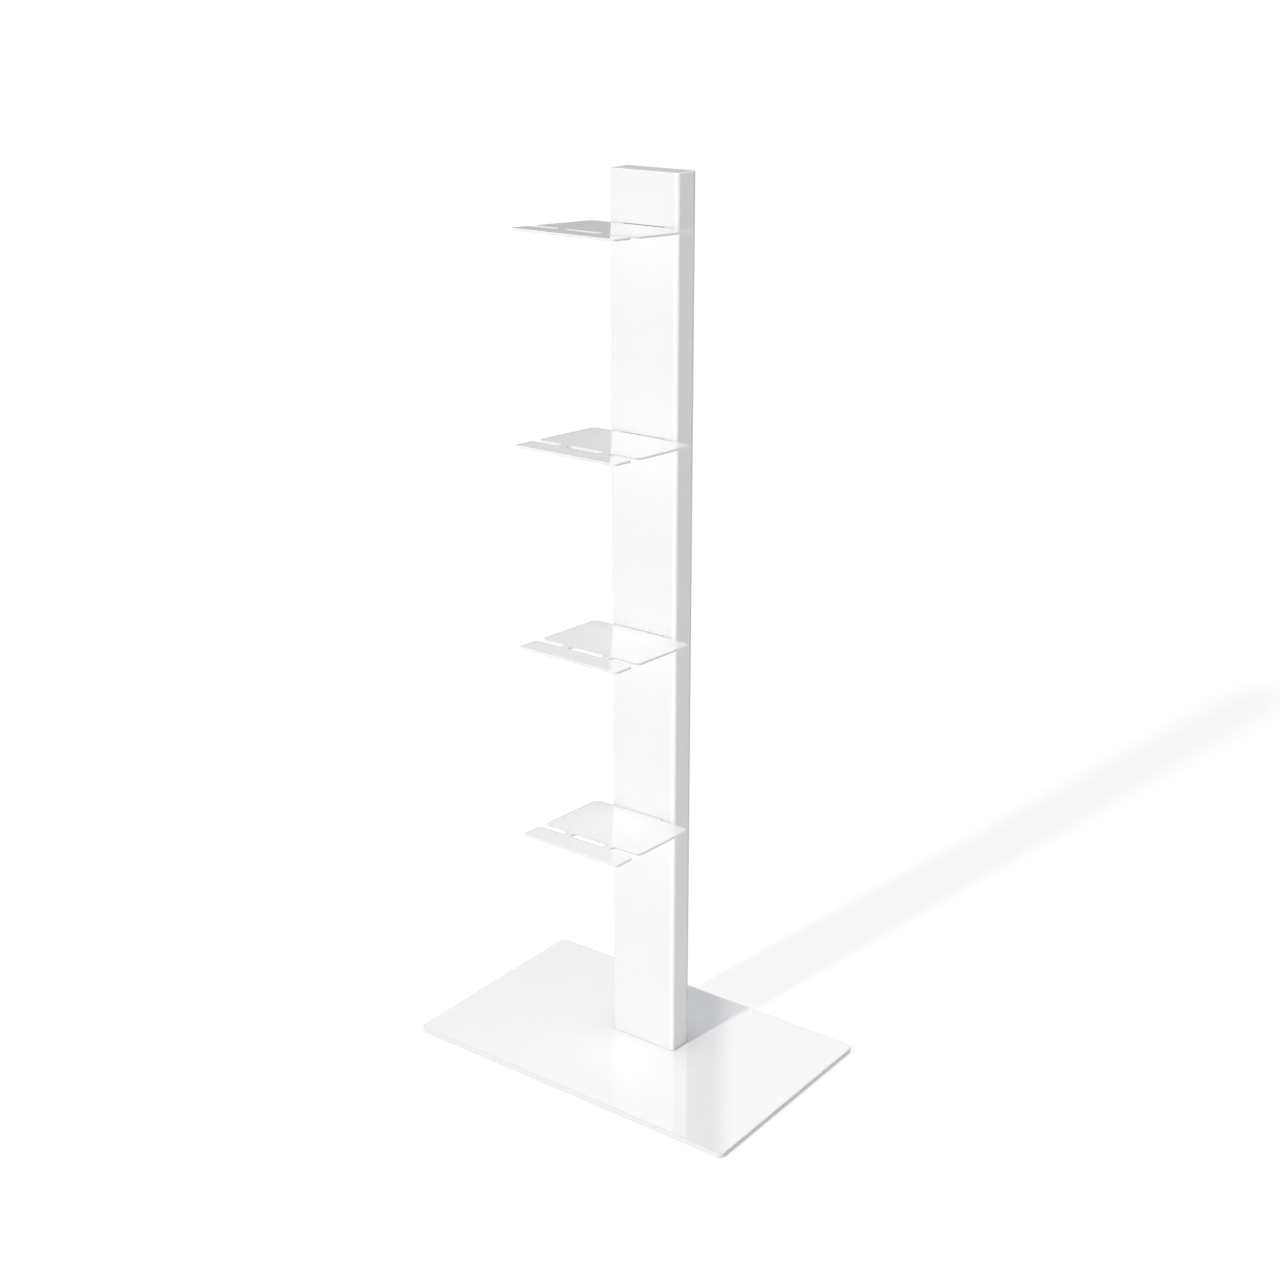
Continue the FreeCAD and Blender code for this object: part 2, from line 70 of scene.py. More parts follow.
def numbered(shape, first=0):
    # grid of point numbers, row by row
    return first + np.arange(shape[0] * shape[1]).reshape(shape)


def quads(grid):
    # four-sided faces between the neighbours in a grid of point numbers
    return np.stack([grid[:-1, :-1], grid[1:, :-1], grid[1:, 1:], grid[:-1, 1:]], -1).reshape(-1, 4)


def wrapped(grid):
    return np.concatenate([grid, grid[:, :1]], 1)  # joins the last column to the first


def roundedLoop(low, high, radius, steps=10, margin=1):
    # Rectangle with round corners, anticlockwise: at corner k, its centre + i^k * radius * e^(i * angle).
    # One more point a margin beyond each end of an arc keeps the long flats flat to the eye.
    left, front = low[:2]
    right, back = high[:2]
    arc = radius * np.exp(1j * np.linspace(0, quarterTurn, steps + 1))
    corner = np.concatenate([[radius - 1j * margin], arc, [1j * radius - margin]])
    turns = 1j ** np.arange(4)
    points = np.array([right + 1j * back, left + 1j * back, left + 1j * front, right + 1j * front])
    loop = (points - turns * (1 + 1j) * radius)[:, None] + turns[:, None] * corner
    return np.stack([loop.real, loop.imag], -1).reshape(-1, 2)


def outward(loop):
    # Mitre at each point, material on the left: the two edge normals added, over 1 + their dot product.
    edge = np.roll(loop, -1, 0) - loop
    normal = np.stack([edge[:, 1], -edge[:, 0]], -1) / np.linalg.norm(edge, axis=1, keepdims=True)
    before = np.roll(normal, 1, 0)
    return (normal + before) / (1 + (normal * before).sum(1, keepdims=True))


def edgeProfile(top, bottom, topRadius, bottomRadius, margin=1, steps=5):
    # Inset and height down a plate's edge: flat, quarter circle, upright wall, quarter circle, flat.
    turn = np.linspace(0, quarterTurn, steps + 1)
    inset = [[topRadius + margin], topRadius * (1 - np.sin(turn)),
             bottomRadius * (1 - np.cos(turn)), [bottomRadius + margin]]
    height = [[top], top - topRadius * (1 - np.cos(turn)),
              bottom + bottomRadius * (1 - np.sin(turn)), [bottom]]
    return np.concatenate(inset), np.concatenate(height)


def edgeRings(loop, inset, height):
    # The profile carried along the loop: loop - inset * outward mitre, at each height.
    rings = loop - inset[:, None, None] * outward(loop)
    return np.concatenate([rings, np.broadcast_to(height[:, None, None], rings.shape[:2] + (1,))], -1)


def shell(loop, inset, height, first=0):
    # Rings closed by one face on the first ring; gives points, faces and the open last ring.
    rings = edgeRings(loop, inset, height)
    grid = numbered(rings.shape[:2], first)
    faces = quads(wrapped(grid)).tolist() + [grid[0].tolist()]
    return rings.reshape(-1, 3), faces, grid[-1]


def shadeByFacing(loop, rings, frontRings):
    # How much painted shade, ring by ring: rings * (1 - turned) + frontRings * turned, where turned grows
    # from 0 on the sides and the back to 1 where the edge faces the front, so front-facing edges get less.
    mitre = outward(loop)
    turned = np.clip(-mitre[:, 1] / np.linalg.norm(mitre, axis=1), 0, 1)
    return rings[:, None] * (1 - turned) + frontRings[:, None] * turned


def newObject(name, data):
    item = bpy.data.objects.new(name, data)
    bpy.context.collection.objects.link(item)
    return item


def makePiece(name, points, faces, paintedMarks):
    # paintedMarks: painted shade and painted light at each point, 0 to 1, by the names that the material
    # reads
    mesh = bpy.data.meshes.new(name)
    mesh.from_pydata((points * mm).tolist(), [], faces)
    mesh.polygons.foreach_set("use_smooth", np.ones(len(mesh.polygons), bool))
    for markName, values in paintedMarks.items():
        mesh.attributes.new(markName, "FLOAT", "POINT").data.foreach_set("value", values)
    mesh.set_sharp_from_angle(angle=sharpAngle)
    return newObject(name, mesh)


def linear(hexColour):
    # sRGB to linear: c / 12.92 up to 0.04045, above it ((c + 0.055) / 1.055) ^ 2.4
    coded = np.array([int(hexColour[i:i + 2], 16) for i in (1, 3, 5)]) / 255
    decoded = np.where(coded <= 0.04045, coded / 12.92, ((coded + 0.055) / 1.055) ** 2.4)
    return tuple(decoded.tolist()) + (1.0,)


def addNode(tree, kind, settings, links=()):
    # one node: its properties and socket values, then (socket, source) pairs
    node = tree.nodes.new(kind)
    for name, setting in settings.items():
        if isinstance(name, str) and hasattr(node, name):
            setattr(node, name, setting)
        else:
            node.inputs[name].default_value = setting
    for socket, source in links:
        tree.links.new(source, node.inputs[socket])
    return node


def newMaterial(name):
    material = bpy.data.materials.new(name)
    material.use_nodes = True
    material.node_tree.nodes.clear()
    return material, material.node_tree


# Gloss lacquer with a clear coat, sprayed on steel and baked: one even white with a faint orange peel, so
# that mirrored edges are sharp close by and waver a little further off.
# In all finishes, sizes and depths are in millimetres.
lacquer = {
    "shades": ("#f4f4f4", "#f2f2f2"),
    "paintedShadeColour": "#d2d3d5",  # painted shade: along plate and sheet edges, on three of the column's edges, and a line behind each shelf
    "paintedLightColour": "#fdfdfd",  # painted light: a highlight on the column's right front edge, and a little on the base's top
    "cloudSize": 90, "cloudDetail": 3.0,  # the coat's slow changes in shade
    "gloss": (0.03, 0.06),  # roughness where the lacquer lies smoothest and roughest
    "ior": 1.5, "clearCoat": 1, "clearCoatRoughness": 0.02,
    "peelSize": 2.4, "peelDetail": 1.0, "peelDepth": 0.004,  # ripples of the orange peel
    "waveSize": 38, "waveDetail": 0.0, "waveDepth": 0.02,  # slow waves in the steel under the coat
}


def whiteLacquer():
    material, tree = newMaterial("white_gloss_lacquer_on_steel")
    place = addNode(tree, "ShaderNodeTexCoord", {}).outputs["Object"]
    cloud = addNode(tree, "ShaderNodeTexNoise",
                    {"Scale": 1 / (lacquer["cloudSize"] * mm), "Detail": lacquer["cloudDetail"]},
                    [("Vector", place)])
    shade = addNode(tree, "ShaderNodeMix",
                    {"data_type": "RGBA",
                     mixFirst: linear(lacquer["shades"][0]), mixSecond: linear(lacquer["shades"][1])},
                    [("Factor", cloud.outputs["Fac"])])
    # Painted shade and painted light (the attribute named full), mixed into the colour from the points'
    # attributes
    shadeShare = addNode(tree, "ShaderNodeAttribute", {"attribute_name": "paintedShade"})
    edgeShaded = addNode(tree, "ShaderNodeMix", {"data_type": "RGBA", mixSecond: linear(lacquer["paintedShadeColour"])},
                      [("Factor", shadeShare.outputs["Fac"]), (mixFirst, shade.outputs[mixResult])])
    full = addNode(tree, "ShaderNodeAttribute", {"attribute_name": "paintedLight"})
    lightened = addNode(tree, "ShaderNodeMix", {"data_type": "RGBA", mixSecond: linear(lacquer["paintedLightColour"])},
                      [("Factor", full.outputs["Fac"]), (mixFirst, edgeShaded.outputs[mixResult])])
    gloss = addNode(tree, "ShaderNodeMapRange",
                    {**noiseSpan, "To Min": lacquer["gloss"][0], "To Max": lacquer["gloss"][1]},
                    [("Value", cloud.outputs["Fac"])])
    wave = addNode(tree, "ShaderNodeTexNoise",
                   {"Scale": 1 / (lacquer["waveSize"] * mm), "Detail": lacquer["waveDetail"]},
                   [("Vector", place)])
    waveBump = addNode(tree, "ShaderNodeBump", {"Distance": lacquer["waveDepth"] * mm},
                       [("Height", wave.outputs["Fac"])])
    peel = addNode(tree, "ShaderNodeTexNoise",
                   {"Scale": 1 / (lacquer["peelSize"] * mm), "Detail": lacquer["peelDetail"]},
                   [("Vector", place)])
    peelBump = addNode(tree, "ShaderNodeBump", {"Distance": lacquer["peelDepth"] * mm},
                       [("Height", peel.outputs["Fac"]), ("Normal", waveBump.outputs["Normal"])])
    coat = addNode(tree, "ShaderNodeBsdfPrincipled",
                   {"IOR": lacquer["ior"], "Coat Weight": lacquer["clearCoat"],
                    "Coat Roughness": lacquer["clearCoatRoughness"]},
                   [("Base Color", lightened.outputs[mixResult]), ("Roughness", gloss.outputs["Result"]),
                    ("Normal", peelBump.outputs["Normal"]), ("Coat Normal", peelBump.outputs["Normal"])])
    addNode(tree, "ShaderNodeOutputMaterial", {}, [("Surface", coat.outputs["BSDF"])])
    return material


# Bright zinc plating on the steel screws and the foot block: silvery with a cold tinge, clouded by handling.
zinc = {
    "shades": ("#c3c6cb", "#a9adb4"),
    "cloudSize": 1.6, "cloudDetail": 4.0,
    "gloss": (0.22, 0.4),
    "grainSize": 0.25, "grainDetail": 2.0, "grainDepth": 0.004,
}


def zincPlate():
    material, tree = newMaterial("bright_zinc_plated_steel")
    place = addNode(tree, "ShaderNodeTexCoord", {}).outputs["Object"]
    cloud = addNode(tree, "ShaderNodeTexNoise",
                    {"Scale": 1 / (zinc["cloudSize"] * mm), "Detail": zinc["cloudDetail"]},
                    [("Vector", place)])
    shade = addNode(tree, "ShaderNodeMix",
                    {"data_type": "RGBA",
                     mixFirst: linear(zinc["shades"][0]), mixSecond: linear(zinc["shades"][1])},
                    [("Factor", cloud.outputs["Fac"])])
    gloss = addNode(tree, "ShaderNodeMapRange",
                    {**noiseSpan, "To Min": zinc["gloss"][0], "To Max": zinc["gloss"][1]},
                    [("Value", cloud.outputs["Fac"])])
    grain = addNode(tree, "ShaderNodeTexNoise",
                    {"Scale": 1 / (zinc["grainSize"] * mm), "Detail": zinc["grainDetail"]},
                    [("Vector", place)])
    bump = addNode(tree, "ShaderNodeBump", {"Distance": zinc["grainDepth"] * mm},
                   [("Height", grain.outputs["Fac"])])
    plating = addNode(tree, "ShaderNodeBsdfPrincipled", {"Metallic": 1.0},
                      [("Base Color", shade.outputs[mixResult]), ("Roughness", gloss.outputs["Result"]),
                       ("Normal", bump.outputs["Normal"])])
    addNode(tree, "ShaderNodeOutputMaterial", {}, [("Surface", plating.outputs["BSDF"])])
    return material


# Soft black plastics: moulded nylon with a fine spark-eroded grain, and cut rubber sheet, duller and greyer.
nylon = {
    "shades": ("#1d1d1f", "#262628"), "roughness": 0.5, "ior": 1.53,
    "grainSize": 0.6, "grainDetail": 3.0, "grainDepth": 0.02,
}
rubber = {
    "shades": ("#3a3a3c", "#4a4a4b"), "roughness": 0.8, "ior": 1.52,
    "grainSize": 0.9, "grainDetail": 3.0, "grainDepth": 0.05,
}


def grainedPlastic(name, look):
    material, tree = newMaterial(name)
    place = addNode(tree, "ShaderNodeTexCoord", {}).outputs["Object"]
    grain = addNode(tree, "ShaderNodeTexNoise",
                    {"Scale": 1 / (look["grainSize"] * mm), "Detail": look["grainDetail"]},
                    [("Vector", place)])
    shade = addNode(tree, "ShaderNodeMix",
                    {"data_type": "RGBA",
                     mixFirst: linear(look["shades"][0]), mixSecond: linear(look["shades"][1])},
                    [("Factor", grain.outputs["Fac"])])
    bump = addNode(tree, "ShaderNodeBump", {"Distance": look["grainDepth"] * mm},
                   [("Height", grain.outputs["Fac"])])
    plastic = addNode(tree, "ShaderNodeBsdfPrincipled", {"Roughness": look["roughness"], "IOR": look["ior"]},
                      [("Base Color", shade.outputs[mixResult]), ("Normal", bump.outputs["Normal"])])
    addNode(tree, "ShaderNodeOutputMaterial", {}, [("Surface", plastic.outputs["BSDF"])])
    return material


whiteCoat = whiteLacquer()
plainFinishes = {
    "zinc_plated_steel": zincPlate(),
    "black_nylon": grainedPlastic("moulded_black_nylon", nylon),
    "pad_rubber": grainedPlastic("cut_rubber_sheet", rubber),
}
print("materials:", len(bpy.data.materials))


def standPiece(piece, node):
    piece.data.materials.append(whiteCoat)
    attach(piece, "stand")
    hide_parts(node)


# Base plate: a 5 mm plate with a softly rounded upper edge and four screw recesses underneath.
base = {
    "cornerRadius": 6.5, "topRadius": 1.2, "bottomRadius": 0.3,
    "recessRadius": 4.7, "recessDepth": 2.7, "recessChamfer": 0.25, "recessSteps": 40,
    "screwReach": (20, 5.3),  # mm from the foot block's middle
    "shadedEdge": ((1, 5, 11, 13), (0, 1, 1, 0)),  # rings down the edge, and how much painted shade lies there
    "shadedFront": ((0, 1, 4, 6, 11, 13), (0, 0.6, 0.6, 0.2, 0.2, 0)),  # the same where it faces the front
    "topPaintedLight": 0.35,  # a little painted light over the flat top
}


def makeBase():
    # An edge profile carried round a rounded rectangle, closed on top. The underside is filled in at the end.
    low, high = nodeBox("base_plate")
    loop = roundedLoop(low, high, base["cornerRadius"])
    inset, height = edgeProfile(high[2], low[2], base["topRadius"], base["bottomRadius"])
    points, faces = shell(loop, inset, height)[:2]
    ring = np.arange(len(inset))
    onEdge = np.interp(ring, *base["shadedEdge"])
    onFront = np.interp(ring, *base["shadedFront"])
    rimShade = shadeByFacing(loop, onEdge, onFront).ravel()
    # Recesses for the screws into the foot block, walked clockwise so that the plate is on the left.
    around = np.linspace(0, -2 * np.pi, base["recessSteps"], endpoint=False)
    circle = base["recessRadius"] * np.stack([np.cos(around), np.sin(around)], -1)
    inset = np.array([0, 0, base["recessChamfer"]])
    height = low[2] + np.array([base["recessDepth"], base["recessChamfer"], 0])
    middle = nodeBox("foot_block").mean(0)[:2]
    for side in ((-1, -1), (-1, 1), (1, -1), (1, 1)):
        recess = middle + np.array(side) * base["screwReach"] + circle
        morePoints, moreFaces = shell(recess, inset, height, len(points))[:2]
        points = np.concatenate([points, morePoints])
        faces = faces + moreFaces
    # Painted shade down the plate's edge, and a little painted light over its flat top.
    paintedShade = np.pad(rimShade, (0, len(points) - len(rimShade)))
    paintedLight = np.where(np.arange(len(points)) < len(loop), base["topPaintedLight"], 0)
    piece = makePiece("base_plate_lacquered", points, faces, {"paintedShade": paintedShade, "paintedLight": paintedLight})
    form = bmesh.new()
    form.from_mesh(piece.data)
    rims = [edge for edge in form.edges if edge.is_boundary]
    bmesh.ops.triangle_fill(form, use_beauty=True, edges=rims, normal=(0, 0, -1))  # the underside
    bmesh.ops.recalc_face_normals(form, faces=form.faces)
    form.to_mesh(piece.data)
    form.free()
    piece.data.set_sharp_from_angle(angle=sharpAngle)
    standPiece(piece, "base_plate")


makeBase()

# What the column's slots and the shelves' tongues share. Each shelf rises to the front.
plug = {
    "count": 4, "lowest": 248.4, "pitch": 185.2,  # mm, base's top to lowest shelf, then shelf to shelf
    "gap": 1.5, "tilt": 3,  # mm from the column to a shelf's rear edge, and degrees
    "width": 44, "length": 19.5, "thickness": 2, "clearance": 0.25,  # the tongue, and its play in the slot
}


def rearEdge(number):
    # middle of a shelf's rear edge, a gap in front of the column
    low, high = nodeBox("column")
    height = nodeBox("base_plate")[1][2] + plug["lowest"] + plug["pitch"] * number
    return np.array([(low[0] + high[0]) / 2, low[1] - plug["gap"], height])


# Column: a rectangular tube with round long edges, a slot in its front for each shelf's tongue.
column = {
    "wall": 2, "edgeRadius": 3, "edgeMargin": 2.5,
    "rimRadius": 0.8, "rimSteps": 5,
    "rimInset": 1.2, "rimDrop": 2,  # the next rings beside the round rim, on the top and down the wall
    "footGap": 0.2, "footStep": 1.3,  # a shadow line round the foot
    # Painted light and shade: places along a round edge, and how much of each lies there.
    "highlightPlaces": ((0, 1, 6, 9), (0, 1, 1, 0)),  # a painted highlight on the right front edge
    "shadePlaces": ((0, 1, 11, 12), (0, 1, 1, 0)),  # painted shade on the rear edges
    "faintShadePlaces": ((0, 1, 7, 11), (0, 0.3, 0.3, 0)),  # and a little painted shade on the left front edge
    "shadowLineFade": 0.9,  # mm over which the painted shadow line behind each shelf fades out
    "shadowLine": 0.4,  # how dark that painted shadow line is
}


def slotEdges():
    # Low and high edge of the lowest slot: the sloping tongue's two faces where they pass the tube's wall,
    # with the clearance.
    tilt = math.radians(plug["tilt"])
    rear = rearEdge(0)[2]
    high = rear - plug["gap"] * math.tan(tilt) + plug["clearance"]
    upperFace = rear - (plug["gap"] + column["wall"]) * math.tan(tilt)
    low = upperFace - plug["thickness"] / math.cos(tilt) - plug["clearance"]
    return low, high


def makeColumn():
    low, high = nodeBox("column")
    loop = roundedLoop(low, high, column["edgeRadius"], margin=column["edgeMargin"])
    slotLeft = len(loop) * 3 // 4  # place of the slots' left side in the loop, between the two front corners
    # Painted light and shade along the loop, corner by corner: right rear, left rear, left front, right
    # front.
    place = np.arange(len(loop) // 4)
    half = len(place) // 2
    plain = np.zeros(len(place))
    full = np.interp(place, *column["highlightPlaces"])
    shadeShare = np.interp(place, *column["shadePlaces"])
    faintShade = np.interp(place, *column["faintShadePlaces"])
    paintedLight = np.insert(np.concatenate([plain, plain, plain, full]), slotLeft, [0, 0])
    paintedShade = np.insert(np.concatenate([shadeShare, shadeShare, faintShade, plain]), slotLeft, [0, 0])
    atFront = np.insert(np.concatenate([plain, plain, place >= half, place <= half]), slotLeft, [1, 1])
    slotMiddle = rearEdge(0)[0]
    slotHalf = plug["width"] / 2 + plug["clearance"]
    loop = np.insert(loop, slotLeft, [(slotMiddle - slotHalf, low[1]), (slotMiddle + slotHalf, low[1])], 0)

    # The wall's section is a closed profile: over the rim, down the outside, under the foot, up the inside.
    wall = column["wall"]
    lineFade = column["shadowLineFade"]
    slotLow, slotHigh = slotEdges()
    rise = plug["pitch"] * np.arange(plug["count"])
    innerRows = np.add.outer(rise, [slotLow, slotHigh]).ravel()
    outerRows = np.add.outer(rise, [slotLow - lineFade, slotLow, slotHigh, slotHigh + lineFade]).ravel()[::-1]
    turn = np.linspace(0, quarterTurn, column["rimSteps"] + 1)
    roundInset = column["rimRadius"] * (1 - np.sin(turn))
    roundDrop = column["rimRadius"] * (1 - np.cos(turn))
    top = high[2]
    rimInset = np.concatenate([[wall, column["rimInset"]], roundInset, [0]])
    rimHeight = np.concatenate([[top, top], top - roundDrop, [top - column["rimDrop"]]])
    bottom = low[2]
    foot = bottom + column["footGap"]
    step = column["footStep"]
    footInset = np.concatenate([[0], roundInset[::-1], [step, step, wall]])
    footHeight = np.concatenate([[foot + column["rimDrop"]], foot + roundDrop[::-1], [foot, bottom, bottom]])
    inset = np.concatenate([rimInset, np.zeros(len(outerRows)), footInset, np.full(len(innerRows), wall)])
    height = np.concatenate([rimHeight, outerRows, footHeight, innerRows])
    rings = edgeRings(loop, inset, height)
    grid = numbered(rings.shape[:2])
    faces = quads(wrapped(np.concatenate([grid, grid[:1]]))).reshape(grid.shape + (4,))

    # Each slot is a hole in the outside and one in the inside, joined by four walls.
    fromTop = np.arange(plug["count"])
    outerHigh = len(rimInset) + 1 + 4 * fromTop  # four rings to a slot outside, two inside
    innerHigh = len(inset) - 1 - 2 * fromTop
    keep = np.ones(grid.shape, bool)
    keep[outerHigh, slotLeft] = False
    keep[innerHigh - 1, slotLeft] = False
    side = slotLeft + np.array([0, 1, 1, 0])
    down = np.array([1, 1, 0, 0])
    outer = grid[outerHigh[:, None] + down, side]
    inner = grid[innerHigh[:, None] - down, side]
    slotWalls = np.stack([outer, np.roll(outer, -1, 1), np.roll(inner, -1, 1), inner], -1).reshape(-1, 4)

    # A painted shadow line on the column's front behind each shelf.
    shadowRings = np.isin(np.arange(len(rings)), [outerHigh, outerHigh + 1])
    shadowLine = column["shadowLine"] * np.outer(shadowRings, atFront)
    paintedMarks = {"paintedShade": np.maximum(shadowLine, paintedShade).ravel(), "paintedLight": np.tile(paintedLight, len(rings))}
    allFaces = faces[keep].tolist() + slotWalls.tolist()
    standPiece(makePiece("column_lacquered", rings.reshape(-1, 3), allFaces, paintedMarks), "column")


makeColumn()

# Cap: the plate let into the column's open top, flush with its rim.
cap = {
    "cornerRadius": 1, "cornerSteps": 6, "cornerMargin": 0.5,
    "edgeRadius": 0.3, "edgeSteps": 3, "edgeMargin": 0.4,
}


def makeCap():
    # An edge profile carried round a rounded rectangle, closed above and below.
    low, high = nodeBox("top_cap")
    loop = roundedLoop(low, high, cap["cornerRadius"], cap["cornerSteps"], cap["cornerMargin"])
    inset, height = edgeProfile(high[2], low[2], cap["edgeRadius"], cap["edgeRadius"],
                                cap["edgeMargin"], cap["edgeSteps"])
    points, faces, rim = shell(loop, inset, height)
    allFaces = faces + [rim[::-1].tolist()]
    standPiece(makePiece("top_cap_lacquered", points, allFaces, {}), "top_cap")


makeCap()
print("stand: base plate, column and cap")

# Shelves: one 2 mm sheet each, tongue at the back, slotted so that the front strip bends up on two bridges.
shelf = {
    "width": 110.5, "depth": 111.5, "flapDepth": 24.7,
    "rearCorner": 7.5, "mouthCorner": 5, "frontCorner": 4, "cornerSteps": 9,
    "slotRadius": 4, "slotReach": 19,  # half a slot's width, and half the closed slot's length
    "bridge": 7.5,  # how wide the metal is between two slots
    "edgeRadius": 0.5, "edgeSteps": 4,
    "margin": 2,  # the flat face ends this far inside the outline
    "lines": (4, 2, 4, 6),  # grid steps from the middle out to slot end, tongue side, bridge side, shelf side
    "tongueRows": 4, "bridgeRows": 13,
    "shadedEdge": ((0, 2, 4), (1, 1, 0)),  # rings down the edge, and how much painted shade lies there
    "shadedWall": ((0, 2, 3, 4, 5), (0, 0.3, 1, 1, 0.2)),  # where the outline's right half faces the front
    "outlineShade": 0.85, "frontShade": 0.18,  # shares of that on the outline, and along its front
}
fold = shelf["depth"] - shelf["flapDepth"] - shelf["slotRadius"]  # from the rear edge to the bending line
slotEnd, tongueSide, bridgeSide, middleLine = np.cumsum(shelf["lines"])  # lines from the middle, its number


def sheetRows(rear, front, halfWidth, rearRadius, frontRadius):
    # Rows across a block with four round corners: row height and half width follow the corner circles.
    turn = np.linspace(0, quarterTurn, shelf["cornerSteps"] + 1)
    along = [rear - rearRadius * (1 - np.cos(turn)), front + frontRadius * (1 - np.sin(turn))]
    half = [halfWidth - rearRadius * (1 - np.sin(turn)), halfWidth - frontRadius * (1 - np.cos(turn))]
    return np.concatenate(along), np.concatenate(half)


def sheetBlocks():
    # The flat face as five grids of points, a margin inside the outline: plate, flap, tongue and two bridges.
    margin = shelf["margin"]
    halfWidth = shelf["width"] / 2 - margin
    endRadius = shelf["slotRadius"] + margin
    inner = shelf["slotReach"] - shelf["slotRadius"]  # centre of the closed slot's round end
    outer = shelf["slotReach"] + shelf["bridge"] + shelf["slotRadius"]  # centre of the side slot's round end
    core = np.interp(np.arange(bridgeSide + 1), [0, slotEnd, tongueSide, bridgeSide],
                     [0, inner, plug["width"] / 2 - margin, outer])
    spread = np.linspace(0, 1, shelf["lines"][-1] + 1)[1:]

    def block(rear, front, rearCorner, frontCorner):
        along, half = sheetRows(rear, front, halfWidth, rearCorner - margin, frontCorner - margin)
        inside = np.broadcast_to(core, (len(along), len(core)))
        outside = outer + (half[:, None] - outer) * spread
        right = np.concatenate([inside, outside], 1)
        across = np.concatenate([-right[:, :0:-1], right], 1)
        return np.stack(np.broadcast_arrays(across, along[:, None]), -1)

    plate = block(-margin, endRadius - fold, shelf["rearCorner"], shelf["mouthCorner"])
    flap = block(-endRadius - fold, margin - shelf["depth"], shelf["mouthCorner"], shelf["frontCorner"])
    tongueX = np.concatenate([-core[tongueSide:0:-1], core[:tongueSide + 1]])
    tongueY = np.linspace(plug["length"] - margin, -margin, shelf["tongueRows"] + 1)[:-1]
    tongue = np.stack(np.broadcast_arrays(tongueX, tongueY[:, None]), -1)
    # A bridge narrows between two slot ends: inner + endRadius * sin(turn) to outer - endRadius * sin(turn),
    # at endRadius * cos(turn) - fold.
    turn = np.linspace(0, np.pi, shelf["bridgeRows"] + 2)[1:-1, None]
    narrowing = endRadius * np.sin(turn)
    share = (core[slotEnd:] - inner) / (outer - inner)
    bridgeX = inner + narrowing + (outer - inner - 2 * narrowing) * share
    bridge = np.stack(np.broadcast_arrays(bridgeX, endRadius * np.cos(turn) - fold), -1)
    return plate, flap, tongue, bridge, bridge[:, ::-1] * (-1, 1)


def sheetFace():
    # The blocks joined: points, faces, and outline and closed slot, walked with the metal on the left.
    blocks = sheetBlocks()
    starts = np.cumsum([0] + [block.shape[0] * block.shape[1] for block in blocks])
    flat = np.concatenate([block.reshape(-1, 2) for block in blocks])
    grids = [numbered(block.shape[:2], start) for block, start in zip(blocks, starts)]
    plate, flap, tongue, right, left = grids
    atTongue = slice(middleLine - tongueSide, middleLine + tongueSide + 1)
    atRight = slice(middleLine + slotEnd, middleLine + bridgeSide + 1)
    atLeft = slice(middleLine - bridgeSide, middleLine - slotEnd + 1)
    joined = [
        plate,
        flap,
        np.concatenate([tongue, plate[:1, atTongue]]),
        np.concatenate([plate[-1:, atRight], right, flap[:1, atRight]]),
        np.concatenate([plate[-1:, atLeft], left, flap[:1, atLeft]]),
    ]
    outline = np.concatenate([
        tongue[:, 0],
        plate[0, middleLine - tongueSide::-1],  # rear edge, to the left
        plate[1:, 0],
        plate[-1, 1:middleLine - bridgeSide + 1],  # into the left slot, round its end and out again
        left[:, 0],
        flap[0, middleLine - bridgeSide::-1],
        flap[1:, 0],
        flap[-1, 1:],  # front edge, to the right
        flap[-2::-1, -1],
        flap[0, -2:middleLine + bridgeSide - 1:-1],  # into the right slot, round its end and out again
        right[::-1, -1],
        plate[-1, middleLine + bridgeSide:],
        plate[-2::-1, -1],
        plate[0, -2:middleLine + tongueSide - 1:-1],  # rear edge, back to the tongue
        tongue[::-1, -1],
        tongue[0, -2:0:-1],
    ])
    slot = np.concatenate([
        plate[-1, middleLine - slotEnd:middleLine + slotEnd + 1],
        right[:, 0],
        flap[0, middleLine + slotEnd:middleLine - slotEnd - 1:-1],
        left[::-1, -1],
    ])
    return flat, np.concatenate([quads(grid) for grid in joined]), outline, slot


def makeSheet():
    # Upper and lower face, and the edge profile carried along the outline and the closed slot between them.
    flat, upperFaces, outline, slot = sheetFace()
    total = len(flat)
    margin = shelf["margin"]
    upper = np.pad(flat, ((0, 0), (0, 1)))
    points = [upper, upper - (0, 0, plug["thickness"])]
    faces = [upperFaces, upperFaces[:, ::-1] + total]
    # Painted shade along the outline and round the closed slot, less where an edge faces the front.
    paintedShade = [np.zeros(2 * total)]
    made = 2 * total
    radius = shelf["edgeRadius"]
    inset, height = edgeProfile(0, -plug["thickness"], radius, radius, margin - radius, shelf["edgeSteps"])
    ring = np.arange(len(inset) - 2)
    onEdge = np.interp(ring, *shelf["shadedEdge"])
    onWall = np.interp(ring, *shelf["shadedWall"])
    for loop, edge, wall in ((outline, shelf["outlineShade"] * onEdge, onWall), (slot, onEdge, onEdge)):
        x, y = flat[loop].T
        weight = np.where(x > 0, shadeByFacing(flat[loop], edge, wall), edge[:, None])
        fade = np.interp(y + shelf["depth"], [margin, shelf["frontCorner"]], [shelf["frontShade"], 1])
        paintedShade.append((weight * fade).ravel())
        rings = edgeRings(flat[loop], inset[1:-1] - margin, height[1:-1])
        grid = numbered(rings.shape[:2], made)
        made += grid.size
        points.append(rings.reshape(-1, 3))
        faces.append(quads(wrapped(np.concatenate([loop[None], grid, loop[None] + total]))))
    return np.concatenate(points), np.concatenate(faces).tolist(), np.concatenate(paintedShade)


